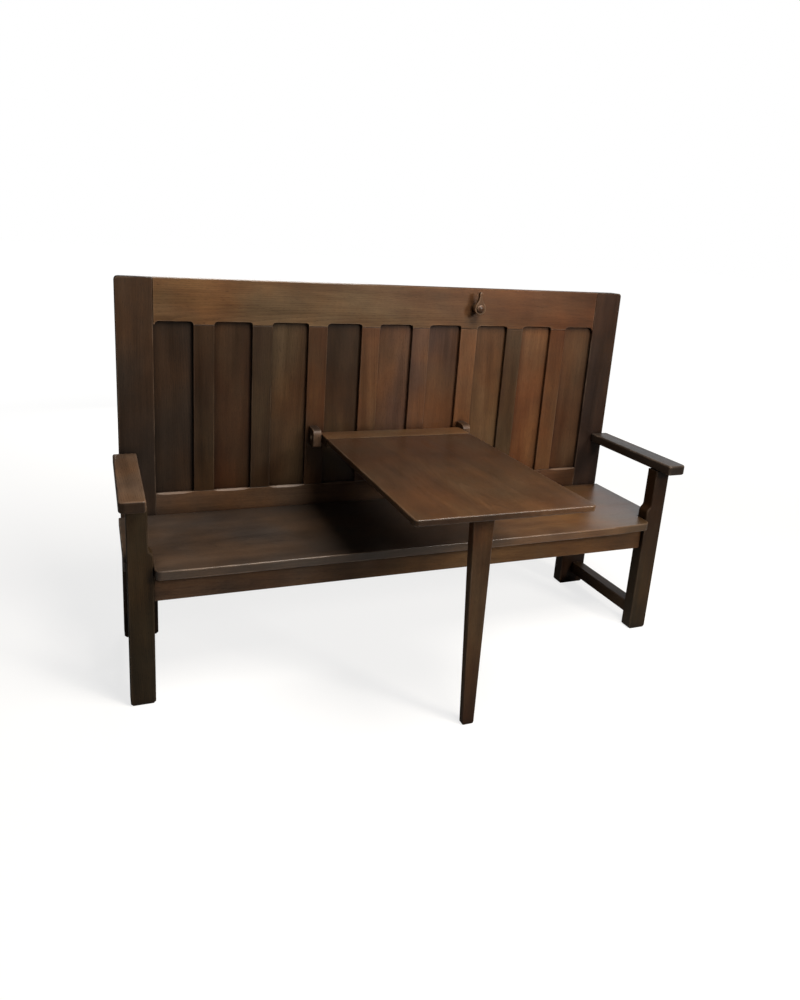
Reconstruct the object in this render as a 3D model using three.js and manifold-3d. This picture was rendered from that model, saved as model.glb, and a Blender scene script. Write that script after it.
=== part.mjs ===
// A monks bench: an oak settle with a framed and panelled back, two arms, and a table in the middle that
// swings up against the back on two pins. Its one leg folds in as the table rises, and a turn button on the
// top rail closes over the raised table's edge.
// Millimetres, +Z up, front towards -Y, +X to the right of someone facing the bench. The origin is on the
// floor, under the middle of the whole bench with its table down.

import * as THREE from "three";
import { mergeVertices } from "three/addons/utils/BufferGeometryUtils.js";
import Module from "manifold-3d";

const wasm = await Module();
wasm.setup();

// Driving sizes of the bench
const backWidth = 1840;
const backHeight = 1202;
const seatHeight = 435;
const seatDepth = 437;
const armHeight = 651;

// Fits: touching pieces keep fitGap, turning pieces keep runGap, cutters run past a face by overrun,
// and a tongue or tenon grows out of its own piece by root.
const fitGap = 0.3;
const runGap = 0.3;
const overrun = 5;
const root = 3;
const arrisWidth = 1.5;

// Back frame
const frameThickness = 46;
const stileWidth = 110;
const stileTopRadius = 14;
const footChamfer = 7;
const topRailHeight = 132;
const sillRise = 74;
const panelCount = 9;
const muntinWidth = 66;
const panelThickness = 12;
const panelRecess = 12;
const grooveDepth = 10;
const headDrop = 10;
const headRound = 14;
const headFlat = 5;
const sillChamfer = 8;
const sillRunoutShare = 0.42;
const sillInset = 4;
const railTenonLength = 40;
const railTenonThickness = 14;
const railTenonShoulder = 26;

// Seat and the rails that carry it
const seatThickness = 28;
const seatEndOverhang = 8;
const seatNose = 39;
const seatNoseRadius = 20;
const seatArrisWidth = 4;
const apronHeight = 85;
const apronThickness = 24;
const apronSetback = 14;
const sideRailThickness = 24;
const sideRailSetback = 7;
const seatTenonLength = 20;
const seatTenonThickness = 12;
const seatTenonShoulder = 12;
const ledgerHeight = 40;
const ledgerThickness = 25;

// Front posts and low stretchers
const postWidth = 71;
const postDepth = 46;
const postStep = 14;
const postStepRise = 31;
const postStepSlope = 18;
const postArrisWidth = 2.5;
const postTenonHeight = 18;
const postTenonInset = 11;
const stretcherSize = 46;
const stretcherRise = 44;
const stretcherTenonLength = 20;
const stretcherTenonInset = 12;
const stretcherArrisWidth = 3;

// Arms
const armWidth = 72;
const armThickness = 34;
const armOverhangSide = 20;
const armOverhangFront = 54;
const armOuterRadius = 12;
const armInnerRadius = 8;
const armArrisWidth = 5;
const armTenonLength = 24;
const armTenonWidth = 28;
const armTenonThickness = 14;

// Table, its pivot rail and the two ears that carry it on the muntins
const tableHeight = 704;
const tableReach = 824;
const tableThickness = 18;
const tableCornerRadius = 12;
const tableArrisWidth = 2.5;
const pivotSetback = 32;
const pivotRailThickness = 32;
const pivotRailReach = 83;
const tableTongueLength = 8;
const tableTongueThickness = 6;
const earMuntins = [3, 6];
const earShift = 6;
const earThickness = 28;
const earDepth = 58;
const earHeight = 64;
const earTopRadius = 22;
const earBottomRadius = 12;
const earSideGap = 2;
const earTenonLength = 16;
const earTenonWidth = 14;
const earTenonHeight = 40;
const pinRadius = 7;
const pinInRail = 28;
const pinProud = 2.5;
const pinChamfer = 1.5;

// Table leg and the two cheeks that hold its pin
const legSetback = 128;
const legShift = 8;
const legTopWidth = 66;
const legFootWidth = 38;
const legTopThickness = 28;
const legFootThickness = 18;
const legFootRadius = 8;
const legArrisWidth = 2;
const legPinRadius = 5;
const legPinDrop = 24;
const cheekThickness = 14;
const cheekLength = 60;
const cheekRadius = 15;
const cheekSideGap = 1;

// Turn button on the top rail
const buttonFromMuntin = 15;
const buttonDrop = 67;
const buttonStandoff = 26;
const buttonThickness = 14;
const buttonLobeRadius = 22;
const buttonShoulderAngle = 36;
const buttonTipReach = 58;
const buttonTipRadius = 6;
const buttonArrisWidth = 2.5;
const spacerRadius = 16;
const boltRadius = 6;
const boltHeadRadius = 13;
const boltHeadHeight = 8;
const boltInRail = 30;

// Smoothness of round forms
const pinSides = 24;
const curveSteps = 6;
const roundSteps = 2;

// Places worked out from the sizes
const halfBack = backWidth / 2;
const stileInner = halfBack - stileWidth;
const openingWidth = (2 * stileInner - (panelCount - 1) * muntinWidth) / panelCount;
const headLevel = backHeight - topRailHeight;
const sillLevel = seatHeight + sillRise;
const railTop = seatHeight - seatThickness - fitGap;
const apronBottom = railTop - apronHeight;
const postFront = -(seatDepth - seatNose);
const postRear = postFront + postDepth;
const postInner = halfBack - postWidth;
const postTop = armHeight - armThickness - fitGap;
const armInner = halfBack + armOverhangSide - armWidth;
const stretcherMiddle = halfBack - postWidth / 2;
const panelFront = panelRecess;
const panelBack = panelRecess + panelThickness;
const tongue = grooveDepth - fitGap;
const pivotY = -pivotSetback;
const pivotZ = tableHeight - pivotRailThickness / 2;
const tableUnder = tableHeight - tableThickness;
const tableFront = pivotY - tableReach;
const tableRear = pivotY - pivotRailReach;
const legY = tableFront + legSetback;
const legPinZ = tableUnder - legPinDrop;
const tableMiddle = (earMiddle(earMuntins[0]) + earMiddle(earMuntins[1])) / 2;
const halfTable = (earMiddle(earMuntins[1]) - earMiddle(earMuntins[0]) - earThickness) / 2 - earSideGap;
const legMiddle = tableMiddle - legShift;
const buttonX = muntinMiddle(earMuntins[1]) + buttonFromMuntin;
const buttonZ = backHeight - buttonDrop;

// The middle of the muntin with this number, counted from the left.
function muntinMiddle(number) {
  return -stileInner + number * openingWidth + (number - 1 / 2) * muntinWidth;
}

// An ear stands a little to the left of its muntin's middle, and the table and leg follow the ears.
function earMiddle(number) {
  return muntinMiddle(number) - earShift;
}

// The left edge of the opening with this number, counted from the left.
function openingLeft(number) {
  return -stileInner + (number - 1) * (openingWidth + muntinWidth);
}

// Solids, and how they are cut and joined

function solidOf(geometry) {
  const plain = geometry.clone();
  plain.deleteAttribute("normal");
  plain.deleteAttribute("uv");
  const merged = mergeVertices(plain, fitGap / 1000);
  const index = merged.index ? merged.index.array : [...merged.attributes.position.array.keys()];
  return new wasm.Manifold(
    new wasm.Mesh({
      numProp: 3,
      vertProperties: new Float32Array(merged.attributes.position.array),
      triVerts: new Uint32Array(index),
    }),
  );
}

function geometryOf(solid) {
  const mesh = solid.getMesh();
  const geometry = new THREE.BufferGeometry();
  geometry.setAttribute("position", new THREE.BufferAttribute(mesh.vertProperties.slice(), 3));
  geometry.setIndex(new THREE.BufferAttribute(mesh.triVerts.slice(), 1));
  const faceted = geometry.toNonIndexed();
  faceted.computeVertexNormals();
  return faceted;
}

function combine(base, tools, step) {
  return geometryOf(tools.reduce((solid, tool) => step(solid, solidOf(tool)), solidOf(base)));
}

const cut = (base, ...tools) => combine(base, tools, (solid, tool) => solid.subtract(tool));
const join = (base, ...tools) => combine(base, tools, (solid, tool) => solid.add(tool));
const common = (base, ...tools) => combine(base, tools, (solid, tool) => solid.intersect(tool));

// A block from its low corner to its high corner, grown by a gap on every side.
function block(low, high, grow = 0) {
  const size = high.map((value, axis) => value - low[axis] + 2 * grow);
  const middle = high.map((value, axis) => (value + low[axis]) / 2);
  return new THREE.BoxGeometry(...size).translate(...middle);
}

// An outline drawn out by its thickness, with its long arrises taken off.
function board(outline, thickness, ease, steps = 1) {
  return new THREE.ExtrudeGeometry(outline, {
    depth: thickness - 2 * ease,
    bevelEnabled: ease > 0,
    bevelThickness: ease,
    bevelSize: ease,
    bevelOffset: -ease,
    bevelSegments: steps,
    curveSegments: curveSteps,
  }).translate(0, 0, ease);
}

// The outline is seen from the front (x, z), and the board runs back from frontY.
function standing(outline, thickness, frontY, ease, steps) {
  return board(outline, thickness, ease, steps)
    .rotateX(Math.PI / 2)
    .translate(0, frontY + thickness, 0);
}

// The outline is seen from above (x, y), and the board rises from bottomZ.
function lying(outline, thickness, bottomZ, ease, steps) {
  return board(outline, thickness, ease, steps).translate(0, 0, bottomZ);
}

// The outline is seen from the right end (y, z), and the board runs to the right from leftX.
function endwise(outline, thickness, leftX, ease, steps) {
  return board(outline, thickness, ease, steps)
    .rotateX(Math.PI / 2)
    .rotateZ(Math.PI / 2)
    .translate(leftX, 0, 0);
}

// A closed outline through corners [x, y, radius], each rounded by its radius if it has one.
function roundedOutline(corners) {
  const outline = new THREE.Shape();
  const count = corners.length;
  corners.forEach(([x, y, radius = 0], i) => {
    const here = new THREE.Vector2(x, y);
    const before = new THREE.Vector2(...corners[(i + count - 1) % count]);
    const after = new THREE.Vector2(...corners[(i + 1) % count]);
    const enter = here.clone().add(before.sub(here).setLength(radius));
    const leave = here.clone().add(after.sub(here).setLength(radius));
    if (i === 0) outline.moveTo(enter.x, enter.y);
    else outline.lineTo(enter.x, enter.y);
    if (radius > 0) outline.quadraticCurveTo(x, y, leave.x, leave.y);
  });
  outline.closePath();
  return outline;
}

function rectangle(left, right, low, high) {
  return roundedOutline([
    [left, low],
    [right, low],
    [right, high],
    [left, high],
  ]);
}

// A turned piece: its half profile [radius, along] goes round an axis that points to the front
// or to the right.
function turnedAlongY(profile, x, y, z) {
  return turned(profile).rotateX(Math.PI).translate(x, y, z);
}

function turnedAlongX(profile, x, y, z) {
  return turned(profile)
    .rotateZ(-Math.PI / 2)
    .translate(x, y, z);
}

function turned(profile) {
  const points = profile.map(([radius, along]) => new THREE.Vector2(radius, along));
  return new THREE.LatheGeometry(points, pinSides);
}

// A round bore along X or Y, centred on a point.
function boreAlongX(radius, length, x, y, z) {
  return new THREE.CylinderGeometry(radius, radius, length, pinSides)
    .rotateZ(-Math.PI / 2)
    .translate(x, y, z);
}

function boreAlongY(radius, length, x, y, z) {
  return new THREE.CylinderGeometry(radius, radius, length, pinSides).translate(x, y, z);
}

// Mirrors a piece of the right side for the left side, with its faces still pointing out.
function onSide(geometry, side) {
  if (side > 0) return geometry;
  return geometryOf(solidOf(geometry).mirror([1, 0, 0]));
}

// Joints that two pieces share: each is one block, solid on one piece and cut with room in the other.

// Side is 1 for the right end of the bench; the blocks are drawn for that end.
const railTenon = (low, high) => ({
  low: [stileInner - root, (frameThickness - railTenonThickness) / 2, low + railTenonShoulder],
  high: [
    stileInner + railTenonLength,
    (frameThickness + railTenonThickness) / 2,
    high - railTenonShoulder,
  ],
});
const topRailTenon = railTenon(headLevel, backHeight);
const bottomRailTenon = railTenon(apronBottom, sillLevel);

const apronFront = postFront + apronSetback;
const apronTenon = {
  low: [
    postInner - root,
    apronFront + (apronThickness - seatTenonThickness) / 2,
    apronBottom + seatTenonShoulder,
  ],
  high: [
    postInner + seatTenonLength,
    apronFront + (apronThickness + seatTenonThickness) / 2,
    railTop - seatTenonShoulder,
  ],
};

const sideRailOuter = halfBack - sideRailSetback;
const sideRailInner = sideRailOuter - sideRailThickness;
const sideRailTenon = {
  low: [
    (sideRailInner + sideRailOuter - seatTenonThickness) / 2,
    postRear - seatTenonLength,
    apronBottom + seatTenonShoulder,
  ],
  high: [
    (sideRailInner + sideRailOuter + seatTenonThickness) / 2,
    seatTenonLength,
    railTop - seatTenonShoulder,
  ],
};

const stretcherTenon = {
  low: [
    stretcherMiddle - stretcherSize / 2 + stretcherTenonInset,
    postRear - stretcherTenonLength,
    stretcherRise + stretcherTenonInset,
  ],
  high: [
    stretcherMiddle + stretcherSize / 2 - stretcherTenonInset,
    stretcherTenonLength,
    stretcherRise + stretcherSize - stretcherTenonInset,
  ],
};

const postTenon = {
  low: [postInner + postStep + postTenonInset, postFront + postTenonInset, postTop - root],
  high: [halfBack - postTenonInset, postRear - postTenonInset, postTop + postTenonHeight],
};

const armMiddleZ = armHeight - armThickness / 2;
const armTenonMiddleX = (armInner + halfBack) / 2;
const armTenon = {
  low: [
    armTenonMiddleX - armTenonWidth / 2,
    -fitGap - root,
    armMiddleZ - armTenonThickness / 2,
  ],
  high: [
    armTenonMiddleX + armTenonWidth / 2,
    armTenonLength,
    armMiddleZ + armTenonThickness / 2,
  ],
};

const earTenon = (middle) => ({
  low: [middle - earTenonWidth / 2, -fitGap - root, pivotZ - earTenonHeight / 2],
  high: [middle + earTenonWidth / 2, earTenonLength, pivotZ + earTenonHeight / 2],
});

const tenonSolid = (tenon) => block(tenon.low, tenon.high);
const tenonRoom = (tenon) => block(tenon.low, tenon.high, fitGap);

// Back frame

// A stile runs from the floor to the top, so its lower end is the rear leg.
function backStile(side) {
  const outline = roundedOutline([
    [stileInner, footChamfer],
    [stileInner + footChamfer, 0],
    [halfBack - footChamfer, 0],
    [halfBack, footChamfer],
    [halfBack, backHeight, stileTopRadius],
    [stileInner, backHeight],
  ]);
  const groove = block(
    [stileInner - overrun, panelFront - fitGap, sillLevel - grooveDepth],
    [stileInner + grooveDepth, panelBack + fitGap, headLevel + grooveDepth],
  );
  const piece = cut(
    standing(outline, frameThickness, 0, arrisWidth),
    groove,
    tenonRoom(topRailTenon),
    tenonRoom(bottomRailTenon),
    tenonRoom(sideRailTenon),
    tenonRoom(stretcherTenon),
    tenonRoom(armTenon),
  );
  return onSide(piece, side);
}

// The lower edge of the top rail rises over each opening with a small round at both ends.
function topRail() {
  const end = stileInner - fitGap;
  const low = headLevel - headDrop;
  const outline = new THREE.Shape();
  outline.moveTo(-end, backHeight);
  outline.lineTo(-end, low);
  for (let number = 1; number <= panelCount; number++) {
    const left = Math.max(openingLeft(number), -end + headFlat);
    const right = Math.min(openingLeft(number) + openingWidth, end - headFlat);
    outline.lineTo(left, low);
    outline.quadraticCurveTo(left, headLevel, left + headRound, headLevel);
    outline.lineTo(right - headRound, headLevel);
    outline.quadraticCurveTo(right, headLevel, right, low);
  }
  outline.lineTo(end, low);
  outline.lineTo(end, backHeight);
  outline.closePath();
  const groove = block(
    [-end - overrun, panelFront - fitGap, low - overrun],
    [end + overrun, panelBack + fitGap, headLevel + grooveDepth],
  );
  const boltHole = boreAlongY(boltRadius + fitGap, 2 * (boltInRail + fitGap), buttonX, 0, buttonZ);
  return join(
    cut(standing(outline, frameThickness, 0, arrisWidth), groove, boltHole),
    tenonSolid(topRailTenon),
    onSide(tenonSolid(topRailTenon), -1),
  );
}

// A chamfer that runs out in a long slope at both ends, cut along a front arris at height z.
function stoppedChamfer(left, right, y, z) {
  const depth = sillChamfer * Math.SQRT1_2;
  const over = overrun / depth;
  const runout = (right - left) * sillRunoutShare;
  const outline = new THREE.Shape();
  outline.moveTo(left + runout, -depth);
  outline.lineTo(right - runout, -depth);
  outline.lineTo(right + runout * over, overrun);
  outline.lineTo(left - runout * over, overrun);
  outline.closePath();
  const out = new THREE.Vector3(0, -Math.SQRT1_2, Math.SQRT1_2);
  const along = new THREE.Vector3(1, 0, 0);
  const across = along.clone().cross(out);
  return new THREE.ExtrudeGeometry(outline, { depth: 2 * sillChamfer, bevelEnabled: false })
    .translate(0, 0, -sillChamfer)
    .applyMatrix4(new THREE.Matrix4().makeBasis(along, out, across))
    .translate(0, y, z);
}

// The bottom rail shows as a sill above the seat and goes down behind it to the height of the apron.
function bottomRail() {
  const end = stileInner - fitGap;
  const groove = block(
    [-end - overrun, panelFront - fitGap, sillLevel - grooveDepth],
    [end + overrun, panelBack + fitGap, sillLevel + overrun],
  );
  const chamfers = [];
  for (let number = 1; number <= panelCount; number++) {
    const left = openingLeft(number) + sillInset;
    const right = openingLeft(number) + openingWidth - sillInset;
    chamfers.push(stoppedChamfer(left, right, 0, sillLevel));
  }
  return join(
    cut(
      standing(rectangle(-end, end, apronBottom, sillLevel), frameThickness, 0, arrisWidth),
      groove,
      ...chamfers,
    ),
    tenonSolid(bottomRailTenon),
    onSide(tenonSolid(bottomRailTenon), -1),
  );
}

// A muntin stands between the rails with a stub tongue at each end and a groove down each side.
function muntin(number) {
  const middle = muntinMiddle(number);
  const left = middle - muntinWidth / 2;
  const right = middle + muntinWidth / 2;
  const low = sillLevel + fitGap;
  const high = headLevel - headDrop - fitGap;
  const grooves = [left, right].map((edge) =>
    block(
      [edge - grooveDepth, panelFront - fitGap, low - overrun],
      [edge + grooveDepth, panelBack + fitGap, high + overrun],
    ),
  );
  const stub = block(
    [left + grooveDepth + fitGap, panelFront, sillLevel - tongue],
    [right - grooveDepth - fitGap, panelBack, headLevel + tongue],
  );
  const rooms = earMuntins.includes(number) ? [tenonRoom(earTenon(earMiddle(number)))] : [];
  return cut(
    join(cut(standing(rectangle(left, right, low, high), frameThickness, 0, arrisWidth), ...grooves), stub),
    ...rooms,
  );
}

function panel(number) {
  const left = openingLeft(number);
  return block(
    [left - tongue, panelFront, sillLevel - tongue],
    [left + openingWidth + tongue, panelBack, headLevel + tongue],
  );
}

// Seat

// The board is notched round the posts, and its nose runs out between them with round ends.
function seatBoard() {
  const end = halfBack + seatEndOverhang;
  const notchX = postInner - fitGap;
  const notchY = postRear + fitGap;
  const rightHalf = [
    [end, -fitGap],
    [end, notchY],
    [notchX, notchY],
    [notchX, -seatDepth, seatNoseRadius],
  ];
  const leftHalf = rightHalf.map(([x, y, radius]) => [-x, y, radius]).reverse();
  return lying(
    roundedOutline([...leftHalf, ...rightHalf].reverse()),
    seatThickness,
    seatHeight - seatThickness,
    seatArrisWidth,
    roundSteps,
  );
}

function seatLedger() {
  const end = stileInner - fitGap;
  return lying(
    rectangle(-end, end, -ledgerThickness, -fitGap),
    ledgerHeight,
    railTop - ledgerHeight,
    arrisWidth,
  );
}

function apron() {
  const end = postInner - fitGap;
  return join(
    standing(rectangle(-end, end, apronBottom, railTop), apronThickness, apronFront, arrisWidth),
    tenonSolid(apronTenon),
    onSide(tenonSolid(apronTenon), -1),
  );
}

function sideSeatRail(side) {
  const outline = rectangle(postRear + fitGap, -fitGap, apronBottom, railTop);
  return onSide(
    join(endwise(outline, sideRailThickness, sideRailInner, arrisWidth), tenonSolid(sideRailTenon)),
    side,
  );
}

// Front posts, stretchers and arms

// The post's inner face steps back above the seat, through a short slope.
function frontPost(side) {
  const stepLow = seatHeight + postStepRise;
  const outline = roundedOutline([
    [postInner, footChamfer],
    [postInner + footChamfer, 0],
    [halfBack - footChamfer, 0],
    [halfBack, footChamfer],
    [halfBack, postTop],
    [postInner + postStep, postTop],
    [postInner + postStep, stepLow + postStepSlope, postStep / 2],
    [postInner, stepLow, postStep / 2],
  ]);
  const piece = cut(
    join(standing(outline, postDepth, postFront, postArrisWidth), tenonSolid(postTenon)),
    tenonRoom(apronTenon),
    tenonRoom(sideRailTenon),
    tenonRoom(stretcherTenon),
  );
  return onSide(piece, side);
}

function sideStretcher(side) {
  const outline = rectangle(
    postRear + fitGap,
    -fitGap,
    stretcherRise,
    stretcherRise + stretcherSize,
  );
  return onSide(
    join(
      endwise(outline, stretcherSize, stretcherMiddle - stretcherSize / 2, stretcherArrisWidth),
      tenonSolid(stretcherTenon),
    ),
    side,
  );
}

function arm(side) {
  const outer = armInner + armWidth;
  const front = postFront - armOverhangFront;
  const outline = roundedOutline([
    [armInner, -fitGap],
    [armInner, front, armInnerRadius],
    [outer, front, armOuterRadius],
    [outer, -fitGap],
  ]);
  const piece = join(
    lying(outline, armThickness, armHeight - armThickness, armArrisWidth, roundSteps),
    tenonSolid(armTenon),
  );
  return onSide(cut(piece, tenonRoom(postTenon)), side);
}

// Table

function pivotEar(number) {
  const middle = earMiddle(number);
  const low = pivotZ - earHeight / 2;
  const high = pivotZ + earHeight / 2;
  const outline = roundedOutline([
    [-fitGap, low],
    [-fitGap, high],
    [-earDepth, high, earTopRadius],
    [-earDepth, low, earBottomRadius],
  ]);
  return cut(
    join(
      endwise(outline, earThickness, middle - earThickness / 2, arrisWidth),
      tenonSolid(earTenon(middle)),
    ),
    boreAlongX(pinRadius + fitGap, earThickness + 2 * overrun, middle, pivotY, pivotZ),
  );
}

// The pin shows at the outer face of its ear and runs through it into the end of the pivot rail.
function pivotPin(number, side) {
  const outer = earMiddle(number) + (side * earThickness) / 2;
  const inner = tableMiddle + side * (halfTable - pinInRail);
  const length = Math.abs(outer - inner) + pinProud;
  const profile = [
    [0, 0],
    [pinRadius - pinChamfer, 0],
    [pinRadius, pinChamfer],
    [pinRadius, length - pinChamfer],
    [pinRadius - pinChamfer, length],
    [0, length],
  ];
  return turnedAlongX(profile, Math.min(inner, outer + side * pinProud), pivotY, pivotZ);
}

// The rail's rear edge is a half round on the pins' axis, so it turns clear of the back.
function pivotRail() {
  const radius = pivotRailThickness / 2;
  const outline = new THREE.Shape();
  outline.moveTo(tableRear, tableHeight);
  outline.lineTo(tableRear, tableHeight - pivotRailThickness);
  outline.lineTo(pivotY, tableHeight - pivotRailThickness);
  outline.absarc(pivotY, pivotZ, radius, -Math.PI / 2, Math.PI / 2, false);
  outline.closePath();
  const groove = block(
    [
      tableMiddle - halfTable - overrun,
      tableRear - overrun,
      tableHeight - (tableThickness + tableTongueThickness) / 2 - fitGap,
    ],
    [
      tableMiddle + halfTable + overrun,
      tableRear + tableTongueLength,
      tableHeight - (tableThickness - tableTongueThickness) / 2 + fitGap,
    ],
  );
  const bores = [-1, 1].map((side) =>
    boreAlongX(
      pinRadius + runGap,
      2 * (pinInRail + runGap),
      tableMiddle + side * halfTable,
      pivotY,
      pivotZ,
    ),
  );
  return cut(endwise(outline, 2 * halfTable, tableMiddle - halfTable, arrisWidth), groove, ...bores);
}

function tableTop() {
  const left = tableMiddle - halfTable;
  const right = tableMiddle + halfTable;
  const rear = tableRear - fitGap;
  const outline = roundedOutline([
    [left, tableFront, tableCornerRadius],
    [right, tableFront, tableCornerRadius],
    [right, rear],
    [left, rear],
  ]);
  const tongueBlock = block(
    [
      left + tableArrisWidth,
      rear - root,
      tableHeight - (tableThickness + tableTongueThickness) / 2,
    ],
    [
      right - tableArrisWidth,
      rear + tableTongueLength,
      tableHeight - (tableThickness - tableTongueThickness) / 2,
    ],
  );
  return join(lying(outline, tableThickness, tableUnder, tableArrisWidth, roundSteps), tongueBlock);
}

// Two cheeks under the top hold the leg's pin.
function legCheek(side) {
  const radius = cheekRadius;
  const outline = new THREE.Shape();
  outline.moveTo(legY - cheekLength / 2, tableUnder - fitGap);
  outline.lineTo(legY - radius, legPinZ);
  outline.absarc(legY, legPinZ, radius, Math.PI, 2 * Math.PI, false);
  outline.lineTo(legY + cheekLength / 2, tableUnder - fitGap);
  outline.closePath();
  const inner = legTopWidth / 2 + cheekSideGap;
  const leftX = side > 0 ? inner : -inner - cheekThickness;
  return cut(
    endwise(outline, cheekThickness, legMiddle + leftX, arrisWidth),
    boreAlongX(
      legPinRadius + fitGap,
      2 * (legTopWidth + cheekThickness),
      legMiddle,
      legY,
      legPinZ,
    ),
  );
}

function legPin() {
  const length = legTopWidth + 2 * (cheekSideGap + cheekThickness + pinProud);
  const profile = [
    [0, 0],
    [legPinRadius - pinChamfer, 0],
    [legPinRadius, pinChamfer],
    [legPinRadius, length - pinChamfer],
    [legPinRadius - pinChamfer, length],
    [0, length],
  ];
  return turnedAlongX(profile, legMiddle - length / 2, legY, legPinZ);
}

// The leg is a board whose front face and right edge are plumb. It tapers down its left edge and its rear
// face, and its top is round about the pin.
function tableLeg() {
  const front = legY - legTopThickness / 2;
  const rear = legY + legTopThickness / 2;
  const left = legMiddle - legTopWidth / 2;
  const right = legMiddle + legTopWidth / 2;
  const side = new THREE.Shape();
  side.moveTo(front, 0);
  side.lineTo(front + legFootThickness, 0);
  side.lineTo(rear, legPinZ);
  side.absarc(legY, legPinZ, legTopThickness / 2, 0, Math.PI, false);
  side.closePath();
  const face = roundedOutline([
    [right - legFootWidth, 0, legFootRadius],
    [right, 0, legFootRadius],
    [right, tableUnder],
    [left, tableUnder],
    [left, legPinZ],
  ]);
  return cut(
    common(
      endwise(side, legTopWidth, left, legArrisWidth),
      standing(face, legTopThickness, front, legArrisWidth),
    ),
    boreAlongX(legPinRadius + runGap, 2 * legTopWidth, legMiddle, legY, legPinZ),
  );
}

// Turn button

// A pear: a round lobe about the bolt, whose sides draw in above its shoulders to a small round tip.
function turnButton() {
  const angle = THREE.MathUtils.degToRad(buttonShoulderAngle);
  const shoulderX = buttonLobeRadius * Math.cos(angle);
  const shoulderZ = buttonZ + buttonLobeRadius * Math.sin(angle);
  const neckZ = shoulderZ + (shoulderX - buttonTipRadius) / Math.tan(angle);
  const tipZ = buttonZ + buttonTipReach - buttonTipRadius;
  const outline = new THREE.Shape();
  outline.absarc(buttonX, buttonZ, buttonLobeRadius, Math.PI - angle, 2 * Math.PI + angle, false);
  outline.quadraticCurveTo(buttonX + buttonTipRadius, neckZ, buttonX + buttonTipRadius, tipZ);
  outline.absarc(buttonX, tipZ, buttonTipRadius, 0, Math.PI, false);
  outline.quadraticCurveTo(buttonX - buttonTipRadius, neckZ, buttonX - shoulderX, shoulderZ);
  const front = -buttonStandoff - buttonThickness;
  return cut(
    standing(outline, buttonThickness, front, buttonArrisWidth, roundSteps),
    boreAlongY(boltRadius + runGap, 2 * (buttonStandoff + buttonThickness), buttonX, front, buttonZ),
  );
}

function buttonSpacer() {
  const length = buttonStandoff - 2 * fitGap;
  const profile = [
    [boltRadius + fitGap, 0],
    [spacerRadius - arrisWidth, 0],
    [spacerRadius, arrisWidth],
    [spacerRadius, length - arrisWidth],
    [spacerRadius - arrisWidth, length],
    [boltRadius + fitGap, length],
    [boltRadius + fitGap, 0],
  ];
  return turnedAlongY(profile, buttonX, -fitGap, buttonZ);
}

// The bolt's shank goes through button and spacer into the rail, under a domed round head.
function buttonBolt() {
  const shoulder = boltInRail + buttonStandoff + buttonThickness + runGap;
  const dome = new THREE.QuadraticBezierCurve(
    new THREE.Vector2(boltHeadRadius, shoulder + boltHeadHeight / 2),
    new THREE.Vector2(boltHeadRadius, shoulder + boltHeadHeight),
    new THREE.Vector2(0, shoulder + boltHeadHeight),
  );
  const profile = [
    [0, 0],
    [boltRadius, 0],
    [boltRadius, shoulder],
    [boltHeadRadius, shoulder],
    ...dome.getPoints(curveSteps).map((point) => [point.x, point.y]),
  ];
  return turnedAlongY(profile, buttonX, boltInRail, buttonZ);
}

// Colours, as the wood shows in the daylight of the room

const oak = {
  frame: [0x5c4130, 0.42],
  panel: [0x553b2b, 0.45],
  seat: [0x4a3627, 0.32],
  post: [0x3f2d20, 0.4],
  arm: [0x5e4330, 0.34],
  table: [0x6a4b35, 0.3],
  leg: [0x463224, 0.4],
  pin: [0x7a5a3e, 0.45],
};

const bench = new THREE.Group();

function add(name, geometry, wood) {
  const [color, roughness] = wood;
  const material = new THREE.MeshStandardMaterial({ color, roughness, metalness: 0 });
  const mesh = new THREE.Mesh(geometry, material);
  mesh.name = name;
  bench.add(mesh);
}

const sides = [
  ["left", -1],
  ["right", 1],
];

for (const [word, side] of sides) {
  add("back_stile_" + word, backStile(side), oak.frame);
  add("front_post_" + word, frontPost(side), oak.post);
  add("side_seat_rail_" + word, sideSeatRail(side), oak.post);
  add("side_stretcher_" + word, sideStretcher(side), oak.post);
  add("arm_" + word, arm(side), oak.arm);
}

add("back_top_rail", topRail(), oak.frame);
add("back_bottom_rail", bottomRail(), oak.frame);
for (let number = 1; number < panelCount; number++) {
  add("back_muntin_" + number, muntin(number), oak.frame);
}
for (let number = 1; number <= panelCount; number++) {
  add("back_panel_" + number, panel(number), oak.panel);
}

add("seat_board", seatBoard(), oak.seat);
add("seat_rear_ledger", seatLedger(), oak.post);
add("front_apron", apron(), oak.post);

sides.forEach(([word, side], i) => {
  add("pivot_ear_" + word, pivotEar(earMuntins[i]), oak.frame);
  add("pivot_pin_" + word, pivotPin(earMuntins[i], side), oak.pin);
  add("leg_cheek_" + word, legCheek(side), oak.leg);
});
add("table_pivot_rail", pivotRail(), oak.table);
add("table_top", tableTop(), oak.table);
add("leg_pivot_pin", legPin(), oak.pin);
add("table_leg", tableLeg(), oak.leg);

add("turn_button", turnButton(), oak.arm);
add("turn_button_spacer", buttonSpacer(), oak.arm);
add("turn_button_bolt", buttonBolt(), oak.pin);

// The bench is drawn from the front plane of its back; this moves the middle of its depth to the origin.
bench.position.y = -(tableFront + frameThickness) / 2;

const part = new THREE.Group();
part.add(bench);

export default part;
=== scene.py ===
# %% [markdown]
# # A monks bench in dark oak
# This lesson dresses a measured model of an oak settle. The model comes in as a fixed frame, so every
# board already has its place. Here the boards get their wood, and the pieces that a hand would round
# over, such as the seat, the arms, the table and the turn button, are made again with softer edges.

# %% Load the bench
import math
import random

import bmesh
import bpy
from mathutils import Euler, Matrix, Vector


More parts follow.
